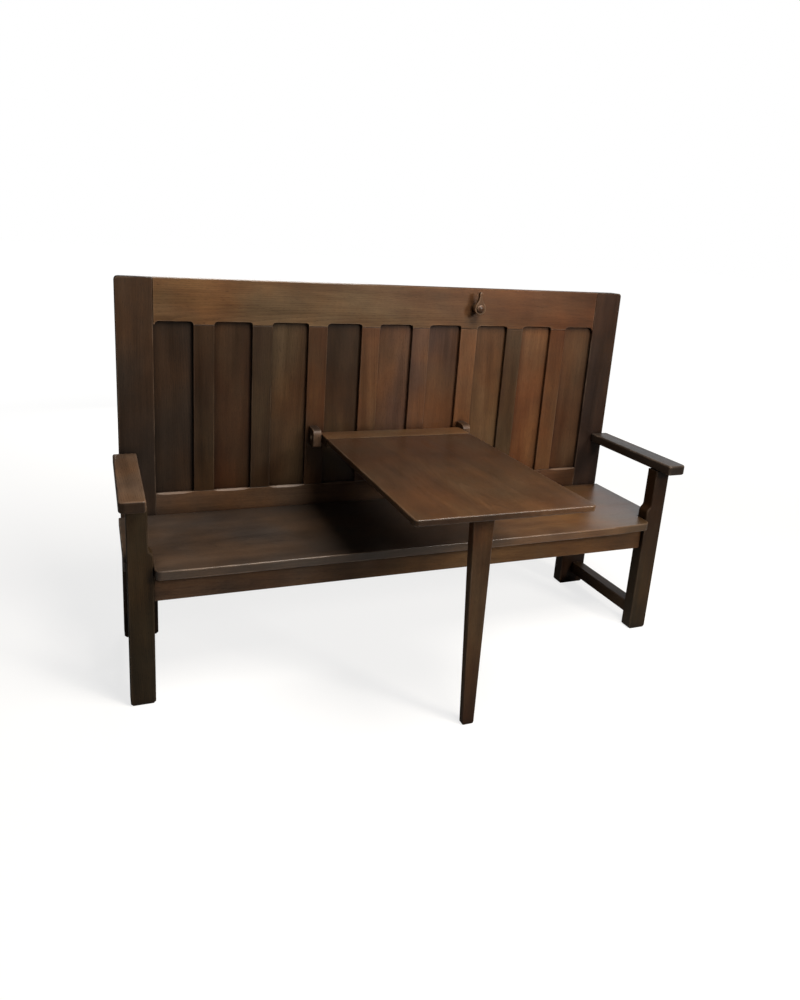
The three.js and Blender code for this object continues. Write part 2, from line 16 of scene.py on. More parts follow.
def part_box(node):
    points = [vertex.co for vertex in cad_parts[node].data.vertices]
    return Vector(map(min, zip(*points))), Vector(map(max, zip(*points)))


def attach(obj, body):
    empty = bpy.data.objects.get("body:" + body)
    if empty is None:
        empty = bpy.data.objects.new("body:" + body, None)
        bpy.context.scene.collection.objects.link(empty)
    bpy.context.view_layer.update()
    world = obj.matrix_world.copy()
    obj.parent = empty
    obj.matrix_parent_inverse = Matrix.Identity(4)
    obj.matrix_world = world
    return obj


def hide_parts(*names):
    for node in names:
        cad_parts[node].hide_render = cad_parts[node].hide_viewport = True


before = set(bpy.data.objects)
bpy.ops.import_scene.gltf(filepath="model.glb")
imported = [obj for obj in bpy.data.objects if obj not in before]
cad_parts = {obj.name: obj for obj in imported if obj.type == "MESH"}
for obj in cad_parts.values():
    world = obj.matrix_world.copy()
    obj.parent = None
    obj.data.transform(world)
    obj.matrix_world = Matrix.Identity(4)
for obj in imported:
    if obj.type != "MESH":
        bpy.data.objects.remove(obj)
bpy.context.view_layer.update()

# %% [markdown]
# ## The camera
# The bench is seen from the left of its middle, from about eye height, and the picture is turned by a
# few degrees. A camera that is built from its own three directions needs no guessing: forward comes
# from a turn about the upright and a tilt down, and the roll turns the other two about it.

# %% Find the camera's three directions
CAMERA_TURN = 0.3719
CAMERA_TILT = -0.26006
CAMERA_ROLL = 0.060611

forward = Vector(
    (
        math.sin(CAMERA_TURN) * math.cos(CAMERA_TILT),
        math.cos(CAMERA_TURN) * math.cos(CAMERA_TILT),
        math.sin(CAMERA_TILT),
    )
)
level = Vector((math.cos(CAMERA_TURN), -math.sin(CAMERA_TURN), 0))
upright = level.cross(forward)
right = math.cos(CAMERA_ROLL) * level + math.sin(CAMERA_ROLL) * upright
up = math.cos(CAMERA_ROLL) * upright - math.sin(CAMERA_ROLL) * level
print("the camera looks along", [round(part, 3) for part in forward])

# %% Place the camera
CAMERA_PLACE = Vector((-0.987511, -1.99469, 1.3666))
FOCAL_PIXELS = 749.02
PICTURE = (800, 1000)
AXIS_PIXEL = (376.62, 434.18)
FILM = 36.0

camera_data = bpy.data.cameras.new("bench_camera")
camera_data.sensor_width = FILM
camera_data.lens = FOCAL_PIXELS * FILM / max(PICTURE)
camera_data.shift_x = (PICTURE[0] / 2 - AXIS_PIXEL[0]) / max(PICTURE)
camera_data.shift_y = (AXIS_PIXEL[1] - PICTURE[1] / 2) / max(PICTURE)
camera = bpy.data.objects.new("bench_camera", camera_data)
turned = Matrix((right, up, -forward)).transposed().to_4x4()
camera.matrix_world = Matrix.Translation(CAMERA_PLACE) @ turned
bpy.context.scene.collection.objects.link(camera)
bpy.context.scene.camera = camera
print("lens", round(camera_data.lens, 2), "mm")

# %% [markdown]
# ## Writing a shader in code
# A material is a net of small nodes. A few helpers keep it readable: one adds any node and fills its
# sockets, others do sums, map one span onto another, and mix or scale colours.

# %% Helpers for shader nodes


def put(tree, kind, values=None, **settings):
    """Adds a node. A value is a socket to link from, or a plain number or colour."""
    made = tree.nodes.new(kind)
    for key, value in settings.items():
        setattr(made, key, value)
    for key, value in (values or {}).items():
        if isinstance(value, bpy.types.NodeSocket):
            tree.links.new(value, made.inputs[key])
        else:
            made.inputs[key].default_value = value
    return made


def calc(tree, operation, first, second, clamp=False):
    """One sum, such as MULTIPLY or ADD."""
    made = put(tree, "ShaderNodeMath", {0: first, 1: second}, operation=operation, use_clamp=clamp)
    return made.outputs[0]


def spread(tree, value, low, high, to_low=0.0, to_high=1.0):
    """Maps the span low to high onto another span, and stops at its ends."""
    values = {
        "Value": value,
        "From Min": low,
        "From Max": high,
        "To Min": to_low,
        "To Max": to_high,
    }
    return put(tree, "ShaderNodeMapRange", values).outputs["Result"]


# %% Helpers for colours and directions


def mixed(tree, factor, first, second, mode="MIX"):
    """Two colours, mixed by a factor."""
    values = {0: factor, 6: first, 7: second}
    made = put(tree, "ShaderNodeMix", values, data_type="RGBA", blend_type=mode)
    return made.outputs[2]


def scaled(tree, colour, factor):
    """A colour made darker or lighter by a factor."""
    made = put(tree, "ShaderNodeVectorMath", {0: colour, "Scale": factor}, operation="SCALE")
    return made.outputs[0]


def paint(colour):
    """Three colour shares as a solid colour."""
    return (*colour, 1)


def stretched(tree, vector, factors):
    """The board's coordinates, with each direction scaled by its own factor."""
    made = put(tree, "ShaderNodeVectorMath", {0: vector, 1: factors}, operation="MULTIPLY")
    return made.outputs[0]


# %% [markdown]
# ## Floor and light
# Daylight reaches the bench from the front right, so the right half of the back is the brighter one,
# the turn button's shadow falls to its left, and the place under the table is nearly black. One lamp at
# the right stands for that window. A broad one overhead lights the seat and the table, weak ones come
# from the left and from behind the right end, and one behind the bench shows its rear side when the
# bench is seen from there. The floor and the surroundings stay plain and pale.

# %% Lay the floor
FLOOR_HALF = 40.0


def link_mesh(name, shape):
    """Turns a bmesh into an object at the origin."""
    mesh = bpy.data.meshes.new(name)
    shape.to_mesh(mesh)
    shape.free()
    made = bpy.data.objects.new(name, mesh)
    bpy.context.scene.collection.objects.link(made)
    return made


floor_shape = bmesh.new()
bmesh.ops.create_grid(floor_shape, x_segments=1, y_segments=1, size=FLOOR_HALF)
floor = link_mesh("studio_floor", floor_shape)
print("floor:", round(floor.dimensions.x), "m wide")

# %% Paint the floor
# The floor glows for the camera only, and more so far from the bench, where it has to look white.
FLOOR_COLOUR = (0.26, 0.256, 0.25, 1)
FLOOR_GLOW = 0.76
GLOW_NEAR = 1.6
GLOW_FAR = 5.5
WHITE = (1, 1, 1, 1)

floor_paint = bpy.data.materials.new("pale_floor")
floor_paint.use_nodes = True
floor_net = floor_paint.node_tree
floor_place = put(floor_net, "ShaderNodeTexCoord").outputs["Object"]
floor_reach = put(floor_net, "ShaderNodeVectorMath", {0: floor_place}, operation="LENGTH")
fade_span = {
    "Value": floor_reach.outputs["Value"],
    "From Min": GLOW_NEAR,
    "From Max": GLOW_FAR,
    "To Min": FLOOR_GLOW,
    "To Max": 1.0,
}
floor_fade = put(floor_net, "ShaderNodeMapRange", fade_span, interpolation_type="SMOOTHSTEP")
floor_ray = put(floor_net, "ShaderNodeLightPath").outputs["Is Camera Ray"]
floor_shown = calc(floor_net, "MULTIPLY", floor_fade.outputs["Result"], floor_ray)
floor_shader = floor_net.nodes["Principled BSDF"]
floor_shader.inputs["Base Color"].default_value = FLOOR_COLOUR
floor_shader.inputs["Roughness"].default_value = 1.0
floor_shader.inputs["Specular IOR Level"].default_value = 0.0
floor_shader.inputs["Emission Color"].default_value = WHITE
floor_net.links.new(floor_shown, floor_shader.inputs["Emission Strength"])
floor.data.materials.append(floor_paint)
print("the floor's glow grows from", GLOW_NEAR, "to", GLOW_FAR, "m")

# %% Hang the lamps
# Each lamp has its place, the point that it is aimed at, its width, its power and its colour.
LAMPS = {
    "window_light": ((2.0, -2.8, 2.15), (0.2, 0.3, 0.8), 0.8, 90, (1.0, 0.95, 0.88)),
    "room_light": ((-2.2, -2.6, 2.4), (-0.3, 0.2, 0.6), 2.2, 6.5, (0.9, 0.95, 1.0)),
    "ceiling_light": ((0.4, -1.1, 3.1), (0.1, 0.2, 0.6), 1.4, 120, (1.0, 0.96, 0.9)),
    "far_window": ((3.4, 3.0, 1.7), (0.6, 0.2, 0.5), 2.4, 14, (0.95, 0.97, 1.0)),
    "rear_light": ((0.2, 3.6, 1.1), (0.0, 0.5, 0.6), 1.6, 60, (1.0, 0.97, 0.92)),
}


def soft_lamp(name, place, aim, size, power, colour):
    """A square area lamp that faces the point it is aimed at."""
    lamp = bpy.data.lights.new(name, "AREA")
    lamp.shape = "SQUARE"
    lamp.size = size
    lamp.energy = power
    lamp.color = colour
    made = bpy.data.objects.new(name, lamp)
    made.rotation_mode = "QUATERNION"
    made.rotation_quaternion = (Vector(aim) - Vector(place)).to_track_quat("-Z", "Y")
    made.location = place
    made.visible_camera = False
    bpy.context.scene.collection.objects.link(made)


for name, settings in LAMPS.items():
    soft_lamp(name, *settings)

# %% Fill the room
# The surroundings look white to the camera, and give the bench only a faint light.
ROOM_GLOW = 0.043

world = bpy.data.worlds.new("pale_room")
world.use_nodes = True
bpy.context.scene.world = world
view_ray = put(world.node_tree, "ShaderNodeLightPath").outputs["Is Camera Ray"]
glow = spread(world.node_tree, view_ray, 0.0, 1.0, ROOM_GLOW, 1.0)
sky = world.node_tree.nodes["Background"]
sky.inputs["Color"].default_value = WHITE
world.node_tree.links.new(glow, sky.inputs["Strength"])
bpy.context.scene.view_settings.view_transform = "Standard"
print("room light:", ROOM_GLOW)

# %% [markdown]
# ## Oak: the grain
# A board shows the tree it was sawn from: growth rings round a pith that lies somewhere behind its
# face, a little tilted, so the rings come out as long arches. Oak also has open pores that run with
# the grain, and streaks, fibres and clouds of colour. All of them are noise in the board's own
# coordinates, drawn out along the grain: the more a layer is squeezed across, the finer its lines.

# %% Lay a board in its tree
ALONG = {"x": (0, 0, 0), "y": (0, 0, -math.pi / 2), "z": (0, math.pi / 2, 0)}
TILT_SIDEWAYS = 0.05
TILT_TURN = 0.06
PITH_ALONG = 4
PITH_ASIDE = (0.02, 0.12)
PITH_BEHIND = (0.05, 0.16)

rng = random.Random(11)


def board_place(tree, place, along, middle):
    """Coordinates whose X runs with the grain, at a distance and tilt of the board's own."""
    sideways = rng.uniform(-TILT_SIDEWAYS, TILT_SIDEWAYS)
    turn = rng.uniform(-TILT_TURN, TILT_TURN)
    turned_board = Euler((0, sideways, turn)).to_matrix() @ Euler(ALONG[along]).to_matrix()
    pith_x = rng.uniform(-PITH_ALONG, PITH_ALONG)
    pith_y = rng.choice((-1, 1)) * rng.uniform(*PITH_ASIDE)
    pith_z = rng.uniform(*PITH_BEHIND)
    values = {
        "Vector": place,
        "Rotation": turned_board.to_euler(),
        "Location": Vector((pith_x, pith_y, pith_z)) - turned_board @ middle,
    }
    return put(tree, "ShaderNodeMapping", values).outputs["Vector"]


print("a pith lies", PITH_BEHIND, "m behind its board")

# %% Growth rings and layers of grain
RING_SPACING = 0.0042
WAVE_UNIT = 0.314
RING_STRETCH = (0.12, 1, 1)
RING_WAVE = {
    "Scale": WAVE_UNIT / RING_SPACING,
    "Distortion": 9.0,
    "Detail": 3.0,
    "Detail Scale": 0.09,
    "Detail Roughness": 0.62,
}
# Each layer has its scale along and across the grain, its detail and its roughness.
GRAIN = {
    "streaks": (1.1, 26, 4.0, 0.6),
    "fibres": (9, 240, 3.0, 0.65),
    "clouds": (2.2, 6, 3.0, 0.55),
    "pores": (55, 1300, 1.0, 0.5),
    "knocks": (11, 30, 2.0, 0.5),
    "planed": (3, 16, 2.0, 0.5),
}


def growth_rings(tree, board):
    """Rings about the pith, that rise slowly and drop at once."""
    values = {"Vector": stretched(tree, board, RING_STRETCH), **RING_WAVE}
    settings = {"wave_type": "RINGS", "rings_direction": "X", "wave_profile": "SAW"}
    return put(tree, "ShaderNodeTexWave", values, **settings).outputs["Fac"]


def grain_layer(tree, board, layer):
    """One noise that is drawn out along the grain."""
    along, across, detail, roughness = GRAIN[layer]
    values = {
        "Vector": stretched(tree, board, (along, across, across)),
        "Scale": 1.0,
        "Detail": detail,
        "Roughness": roughness,
    }
    return put(tree, "ShaderNodeTexNoise", values).outputs["Fac"]


print("grain layers:", list(GRAIN))

# %% Late wood, pits and figure
# The dense late wood ends each ring. The pits are pores, and most of them lie in the early wood.
NOISE_SPAN = (0.3, 0.7)
LATE_POWER = 1.8
EARLY_END = 0.45
PORE_SPAN = (0.56, 0.68)
PORES_IN_LATE = 0.35
FIGURE_WEIGHTS = {"late": 0.22, "streaks": 0.54, "fibres": 0.26}


def weighted(tree, parts, clamp=False):
    """The sum of (value, weight) pairs."""
    (first, weight), *others = parts
    total = calc(tree, "MULTIPLY", first, weight)
    for value, weight in others:
        part = calc(tree, "MULTIPLY", value, weight)
        total = calc(tree, "ADD", total, part, clamp=clamp)
    return total


def grain_marks(tree, board):
    """All that the grain draws on a board, by name."""
    marks = {layer: grain_layer(tree, board, layer) for layer in GRAIN}
    rings = growth_rings(tree, board)
    marks["late"] = calc(tree, "POWER", rings, LATE_POWER)
    early = spread(tree, rings, EARLY_END, 0.0)
    pores = spread(tree, marks["pores"], *PORE_SPAN)
    marks["pits"] = calc(tree, "MULTIPLY", pores, spread(tree, early, 0, 1, PORES_IN_LATE, 1.0))
    lines = {
        "late": marks["late"],
        "streaks": spread(tree, marks["streaks"], *NOISE_SPAN),
        "fibres": spread(tree, marks["fibres"], *NOISE_SPAN),
    }
    parts = [(lines[name], weight) for name, weight in FIGURE_WEIGHTS.items()]
    marks["figure"] = weighted(tree, parts, clamp=True)
    return marks


print("figure:", FIGURE_WEIGHTS)

# %% [markdown]
# ## Oak: the stain
# Old stain lies in streaks and clouds. Each stain is a pair of colours, one for clear and one for cloudy
# places. A board may pass into other stains between two places along its length, with a ragged border;
# on the seat and the apron such changes are painted light and painted shade. Hands and smoke add slow
# shifts of shade and hue.

# %% Stain a board
STAINS = {
    "umber": (Vector((0.078, 0.0355, 0.0140)), Vector((0.069, 0.0375, 0.0160))),
    "russet": (Vector((0.100, 0.0355, 0.0118)), Vector((0.079, 0.0355, 0.0138))),
    "olive": (Vector((0.070, 0.0440, 0.0190)), Vector((0.077, 0.0400, 0.0160))),
    "plum": (Vector((0.073, 0.0340, 0.0200)), Vector((0.083, 0.0350, 0.0140))),
    "ash": (Vector((0.076, 0.0450, 0.0280)), Vector((0.082, 0.0440, 0.0230))),
    # A grey brown: dust, and a painted grey sheen.
    "dust_and_sheen": (Vector((0.064, 0.0455, 0.0340)), Vector((0.069, 0.0450, 0.0300))),
    # Nearly white: a painted glint, used on the pins' ends.
    "pale_glint": (Vector((0.400, 0.3000, 0.2100)), Vector((0.360, 0.2700, 0.1800))),
}
TAKE_SPAN = (0.38, 0.62)
RAGGED = 0.12


def stained(tree, marks, stain, strength, changes, reach):
    """The colour of the stain. Reach is the place along the grain."""
    taken = spread(tree, marks["clouds"], *TAKE_SPAN)

    def coat_of(stain, strength):
        clear, cloudy = STAINS[stain]
        return mixed(tree, taken, paint(clear * strength), paint(cloudy * strength))

    base = coat_of(stain, strength)
    for other, other_strength, start, stop in changes:
        border = spread(tree, marks["clouds"], *NOISE_SPAN, -RAGGED, RAGGED)
        ragged = calc(tree, "ADD", reach, border)
        share = spread(tree, ragged, start, stop)
        base = mixed(tree, share, base, coat_of(other, other_strength))
    return base


print("stains:", list(STAINS))

# %% Shade the stain with grain, clouds and years
CLOUD_SHADE = (0.66, 1.32)
FIGURE_DARK = 0.45
FIGURE_LIGHT = 0.5
PATINA = {"Scale": 7.0, "Detail": 3.0}
PATINA_SPAN = (0.35, 0.65)
PATINA_SHADE = (0.9, 1.16)
HUE = {"Scale": 4.3, "Detail": 4.0}
WARM = (1.09, 0.98, 0.86, 1)
COOL = (0.93, 1.03, 1.16, 1)
PIT_COVER = 0.75
PIT_DARK = 0.16


def shaded(tree, base, marks, place, contrast, pit_colour):
    """The stain with the figure, the clouds, the patina and the dark pits on it."""
    clouds = spread(tree, marks["clouds"], *NOISE_SPAN, *CLOUD_SHADE)
    dark, light = 1 - FIGURE_DARK * contrast, 1 + FIGURE_LIGHT * contrast
    shade = calc(tree, "MULTIPLY", clouds, spread(tree, marks["figure"], 0, 1, dark, light))
    patina = put(tree, "ShaderNodeTexNoise", {"Vector": place, **PATINA}).outputs["Fac"]
    worn_shade = spread(tree, patina, *PATINA_SPAN, *PATINA_SHADE)
    shade = calc(tree, "MULTIPLY", shade, worn_shade)
    hue = put(tree, "ShaderNodeTexNoise", {"Vector": place, **HUE}).outputs["Fac"]
    tint = mixed(tree, spread(tree, hue, *TAKE_SPAN), WARM, COOL)
    tone = scaled(tree, mixed(tree, 1.0, base, tint, "MULTIPLY"), shade)
    return mixed(tree, calc(tree, "MULTIPLY", marks["pits"], PIT_COVER), tone, pit_colour)


print("hue runs from", WARM[:3], "to", COOL[:3])

# %% [markdown]
# ## Oak: wear, grime and painted light
# Edges and corners that hands and cloths have rubbed are lighter, and their worn colour also paints the
# highlights along the edges. Dust and wax darken the inner corners, together with painted shade. Both
# come from ambient occlusion: looked for inside the wood, it finds the edges, and looked for outside, it
# finds the corners where a cloth doesn't reach. Faces that look up and to the front get a painted
# highlight. Cut ends drink more stain.

# %% Rub the edges and paint their highlights
EDGE_REACH = 0.005
EDGE_SPAN = (0.92, 0.6)
KNOCK_SPAN = (0.4, 0.62)
KNOCK_WEAR_AND_HIGHLIGHT = (0.15, 1.0)
SLOPE = Vector((0, -1, 1)).normalized()
SLOPE_SPAN = (0.9, 0.97)


def rubbed_and_lit_share(tree, marks, facing, wear_and_highlight, slope_highlight):
    """How much of the stain gives way to the worn colour: rubbed off the edges, which also paints their
    highlights, and painted as a highlight on faces that look up and to the front.
    """
    settings = {"samples": 8, "inside": True, "only_local": True}
    inside = put(tree, "ShaderNodeAmbientOcclusion", {"Distance": EDGE_REACH}, **settings)
    edge = spread(tree, inside.outputs["AO"], *EDGE_SPAN)
    knocks = spread(tree, marks["knocks"], *KNOCK_SPAN, *KNOCK_WEAR_AND_HIGHLIGHT)
    rubbed_and_lit = calc(tree, "MULTIPLY", calc(tree, "MULTIPLY", edge, knocks), wear_and_highlight, clamp=True)
    # Painted highlight: faces that look up and to the front, such as the sill's planed strips, take the
    # worn colour.
    if slope_highlight:
        values = {0: facing, 1: SLOPE}
        slope = put(tree, "ShaderNodeVectorMath", values, operation="DOT_PRODUCT").outputs["Value"]
        planed = spread(tree, slope, *SLOPE_SPAN, 0, slope_highlight)
        rubbed_and_lit = calc(tree, "MAXIMUM", rubbed_and_lit, planed)
    return rubbed_and_lit


print("edges are rubbed", EDGE_REACH * 1000, "mm wide")

# %% Darken inner corners and cut ends
END_SPAN = (0.6, 0.95)
END_GRAIN = 0.35
SHELTER_REACH = 0.03
SHELTER_SPAN = (0.4, 0.9)
# Inner corners are darkened: dust and wax, and painted shade in the recesses.
GRIME_AND_SHADE = 0.3


def grime_shade_and_end_grain(tree, facing, axis, ends):
    """The light that is left by grime with painted shade in the inner corners, and by the end grain."""
    grain_axis = put(tree, "ShaderNodeSeparateXYZ", {0: facing}).outputs[axis]
    end_grain = spread(tree, calc(tree, "ABSOLUTE", grain_axis, 0), *END_SPAN, 1.0, ends)
    values = {"Distance": SHELTER_REACH}
    shelter = put(tree, "ShaderNodeAmbientOcclusion", values, samples=4).outputs["AO"]
    grime_and_shade = spread(tree, shelter, *SHELTER_SPAN, GRIME_AND_SHADE, 1.0)
    return calc(tree, "MULTIPLY", grime_and_shade, end_grain)


print("end grain keeps", END_GRAIN, "of the light")

# %% [markdown]
# ## Oak: polish and surface
# The wax shines less in the streaks and in the pits, and more where the wood is rubbed. The surface is
# not flat: the plane left shallow waves, the late wood stands up a little and the pits are open.

# %% Polish a board
POLISH_SPAN = (-0.05, 0.08)
PIT_ROUGH = 0.25
RUBBED_SMOOTH = 0.1
GLOSS = 0.2
COAT_ROUGHNESS = 0.28
HEIGHTS = {"late": 0.05, "pits": -0.12, "fibres": 0.08, "planed": 0.7}
BUMP = {"Distance": 0.001, "Strength": 0.7}


def polished(tree, shader, marks, rubbed_and_lit, polish, coat):
    """Sets the shine and the small relief."""
    low, high = polish + POLISH_SPAN[0], polish + POLISH_SPAN[1]
    streaks = spread(tree, marks["streaks"], *NOISE_SPAN, low, high)
    parts = [(streaks, 1.0), (marks["pits"], PIT_ROUGH), (rubbed_and_lit, -RUBBED_SMOOTH)]
    tree.links.new(weighted(tree, parts, clamp=True), shader.inputs["Roughness"])
    shader.inputs["Specular IOR Level"].default_value = GLOSS
    shader.inputs["Coat Weight"].default_value = coat
    shader.inputs["Coat Roughness"].default_value = COAT_ROUGHNESS
    height = weighted(tree, [(marks[name], weight) for name, weight in HEIGHTS.items()])
    bump = put(tree, "ShaderNodeBump", {"Height": height, **BUMP})
    tree.links.new(bump.outputs["Normal"], shader.inputs["Normal"])


print("relief:", HEIGHTS)

# %% [markdown]
# ## Oak: the whole recipe
# The same recipe makes every board, with its own piece of the tree, its own stain and its own polish.

# %% The oak recipe
# The worn colour of rubbed edges, which also serves as a painted highlight.
WORN_AND_HIGHLIGHT = Vector((0.32, 0.225, 0.16))


def oak(
    name,
    stain,
    strength,
    along,
    middle,
    polish=0.4,
    wear_and_highlight=0.3,
    coat=0.0,
    ends=END_GRAIN,
    changes=(),
    slope_highlight=0.0,
    contrast=1.0,
):
    """A stained oak material for one board, with its grain along x, y or z through its middle.

    Each change (stain, strength, start, stop) brings in another stain between two places along the grain.
    Slope highlight is the share of the worn colour that is painted as a highlight on faces that look up
    and to the front. Contrast is how far the grain's dark and light lines lie apart. Wear and highlight
    is the share of the worn colour on the edges, which stands for wear and also paints their highlights.
    It and ends are
    numbers, or spans (start, stop, first, second): it then changes along the grain, and the end grain's
    tone along x.
    """
    material = bpy.data.materials.new(name)
    material.use_nodes = True
    tree = material.node_tree
    shader = tree.nodes["Principled BSDF"]
    coordinates = put(tree, "ShaderNodeTexCoord").outputs
    place, facing = coordinates["Object"], coordinates["Normal"]
    axis = "XYZ".index(along.upper())
    position = put(tree, "ShaderNodeSeparateXYZ", {0: place}).outputs
    if isinstance(wear_and_highlight, tuple):
        wear_and_highlight = spread(tree, position[axis], *wear_and_highlight)
    if isinstance(ends, tuple):
        ends = spread(tree, position["X"], *ends)

    marks = grain_marks(tree, board_place(tree, place, along, middle))
    base = stained(tree, marks, stain, strength, changes, position[axis])
    pit_colour = paint(STAINS[stain][0] * strength * PIT_DARK)
    tone = shaded(tree, base, marks, place, contrast, pit_colour)
    rubbed_and_lit = rubbed_and_lit_share(tree, marks, facing, wear_and_highlight, slope_highlight)
    # Edges take the worn colour: real wear, and a painted highlight along them.
    tone = mixed(tree, rubbed_and_lit, tone, paint(WORN_AND_HIGHLIGHT))
    # Inner corners are darkened here with grime and painted shade, and end grain is darkened with its
    # stain.
    tone = scaled(tree, tone, grime_shade_and_end_grain(tree, facing, axis, ends))
    tree.links.new(tone, shader.inputs["Base Color"])
    polished(tree, shader, marks, rubbed_and_lit, polish, coat)
    return material


def middle_of(node):
    """The middle of a node's box."""
    low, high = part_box(node)
    return (low + high) / 2


print("bare wood shows as", [round(part, 3) for part in WORN_AND_HIGHLIGHT])

# %% [markdown]
# ## Stain for each family of boards
# Old stain never took evenly, and each board has a strength of its own. The top rail and the boards
# near the window lamp are lighter and redder, and the left end, the posts and the right stile are dark;
# the fall to the dark left end is partly painted shade. The apron is greyer at the left, painted darkest
# as shade where the table's shadow falls, and warm at the right.

# %% Stains for the boards that keep their measured shape
BOARDS = {
    "back_stile_left": ("z", "ash", 0.385),
    "back_stile_right": ("z", "plum", 0.27),
    "back_top_rail": ("x", "umber", 1.15),
    "seat_rear_ledger": ("x", "umber", 0.6),
    "front_apron": ("x", "ash", 1.25),
    "table_pivot_rail": ("x", "umber", 0.9),
    "pivot_ear_left": ("z", "ash", 0.72),
    "pivot_ear_right": ("z", "ash", 0.72),
    "leg_cheek_left": ("y", "umber", 0.7),
    "leg_cheek_right": ("y", "umber", 0.7),
    "table_leg": ("z", "russet", 0.31),
}
APRON_CHANGES = [
    # The first change is painted shade: the apron is darkened where the table's shadow falls.
    ("umber", 0.68, -0.42, -0.2),
    ("umber", 1.42, 0.1, 0.26),
    ("russet", 0.9, 0.62, 0.84),
]
TOUCHES = {
    "back_top_rail": {"changes": [("russet", 0.72, 0.0, 0.7)]},
    "front_apron": {"changes": APRON_CHANGES},
    "table_leg": {"changes": [("umber", 1.1, 0.1, 0.62)], "wear_and_highlight": 0.5},
    "front_post_right": {"changes": [("russet", 0.2, 0.25, 0.55)]},
    "pivot_ear_left": {"wear_and_highlight": 0.6},
    "pivot_ear_right": {"wear_and_highlight": 0.6},
}
print("single boards:", len(BOARDS))

# %% Stains for the muntins and panels, from left to right
# Muntins get little edge wear, so little painted highlight lies on their edges.
MUNTIN_WEAR_AND_HIGHLIGHT = 0.15
# The strengths rise from left to right: the boards' own tone, and painted light that falls off towards
# the left end.
MUNTINS = [
    ("umber", 0.36),
    ("umber", 0.4),
    ("russet", 0.51),
    ("russet", 0.75),
    ("plum", 0.93),
    ("russet", 0.88),
    ("umber", 0.5),
    ("russet", 0.7),
]
PANELS = [
    ("ash", 0.26),
    ("russet", 0.36),
    ("umber", 0.6),
    ("umber", 0.43),
    ("plum", 0.69),
    ("plum", 0.67),
    ("umber", 0.96),
    ("russet", 0.8),
    ("russet", 0.52),
]
for number, (stain, strength) in enumerate(MUNTINS, start=1):
    BOARDS[f"back_muntin_{number}"] = ("z", stain, strength)
    TOUCHES[f"back_muntin_{number}"] = {"wear_and_highlight": MUNTIN_WEAR_AND_HIGHLIGHT}
for number, (stain, strength) in enumerate(PANELS, start=1):
    BOARDS[f"back_panel_{number}"] = ("z", stain, strength)
for side in ("left", "right"):
    BOARDS[f"front_post_{side}"] = ("z", "olive", 0.4)
    BOARDS[f"side_seat_rail_{side}"] = ("y", "umber", 0.45)
    BOARDS[f"side_stretcher_{side}"] = ("y", "umber", 0.5)
print("boards with a stain:", len(BOARDS))

# %% Stain them


def dress(piece, material):
    """Puts one material in the slot of a piece."""
    if piece.data.materials:
        for slot in piece.material_slots:
            slot.link = "OBJECT"
            slot.material = material
    else:
        piece.data.materials.append(material)


for node, (along, stain, strength) in BOARDS.items():
    wood = oak(f"oak_{node}", stain, strength, along, middle_of(node), **TOUCHES.get(node, {}))
    dress(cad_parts[node], wood)
print("stained", len(BOARDS), "boards")

# %% [markdown]
# ## Boards with rounded edges
# The seat, the arms, the table top and the turn button are boards cut to an outline. In Blender such a
# board starts as one flat face. Bevelling its corner vertices rounds the outline, extruding the face
# gives the board its thickness, and bevelling the edges softens them. Normals weighted by area keep the
# broad faces flat and let the small round strips carry the shine.

# %% A helper that finishes a piece
MERGE_DISTANCE = 1e-6
SHARP_CREASE = 50


def finish_piece(name, shape, body, replaced, crease=SHARP_CREASE):
    """Closes a shape as a piece of the bench that stands for measured nodes."""
    bmesh.ops.remove_doubles(shape, verts=shape.verts, dist=MERGE_DISTANCE)
    bmesh.ops.recalc_face_normals(shape, faces=shape.faces)
    open_edges = [edge for edge in shape.edges if not edge.is_manifold]
    print(name, "faces", len(shape.faces), "open edges", len(open_edges))
    piece = link_mesh(name, shape)
    piece.data.shade_smooth()
    piece.data.set_sharp_from_angle(angle=math.radians(crease))
    even = piece.modifiers.new("even_normals", "WEIGHTED_NORMAL")
    even.keep_sharp = True
    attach(piece, body)
    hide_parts(*replaced)
    return piece


# %% A helper for boards cut to an outline
AXES = {"y": (0, 2, 1), "z": (0, 1, 2)}
OUTLINE_STEPS = 8
EASED_ANGLE = math.radians(30)


def draw_out(shape, face, move):
    """Extrudes a face and moves the new end."""
    drawn = bmesh.ops.extrude_face_region(shape, geom=[face], use_keep_orig=True)
    moved = [item for item in drawn["geom"] if isinstance(item, bmesh.types.BMVert)]
    bmesh.ops.translate(shape, verts=moved, vec=move)


def board_shape(corners, axis, low, high, ease, steps):
    """A board from corners (first, second, radius), drawn out from low to high along the axis."""
    first, second, third = AXES[axis]
    shape = bmesh.new()
    verts = []
    for a, b, _ in corners:
        place = [0, 0, 0]
        place[first], place[second], place[third] = a, b, low
        verts.append(shape.verts.new(place))
    shape.faces.new(verts)
    bevel = {"profile": 0.5, "material": -1}
    for vert, (_, _, radius) in zip(verts, corners):
        if radius > 0:
            bmesh.ops.bevel(
                shape,
                geom=[vert],
                offset=radius,
                segments=OUTLINE_STEPS,
                affect="VERTICES",
                **bevel,
            )
    shape.faces.ensure_lookup_table()
    move = [0, 0, 0]
    move[third] = high - low
    draw_out(shape, shape.faces[0], move)
    bmesh.ops.recalc_face_normals(shape, faces=shape.faces)
    closed = [edge for edge in shape.edges if edge.is_manifold]
    sharp = [edge for edge in closed if edge.calc_face_angle() > EASED_ANGLE]
    bmesh.ops.bevel(
        shape,
        geom=sharp,
        offset=ease,
        segments=steps,
        affect="EDGES",
        clamp_overlap=True,
        **bevel,
    )
    return shape


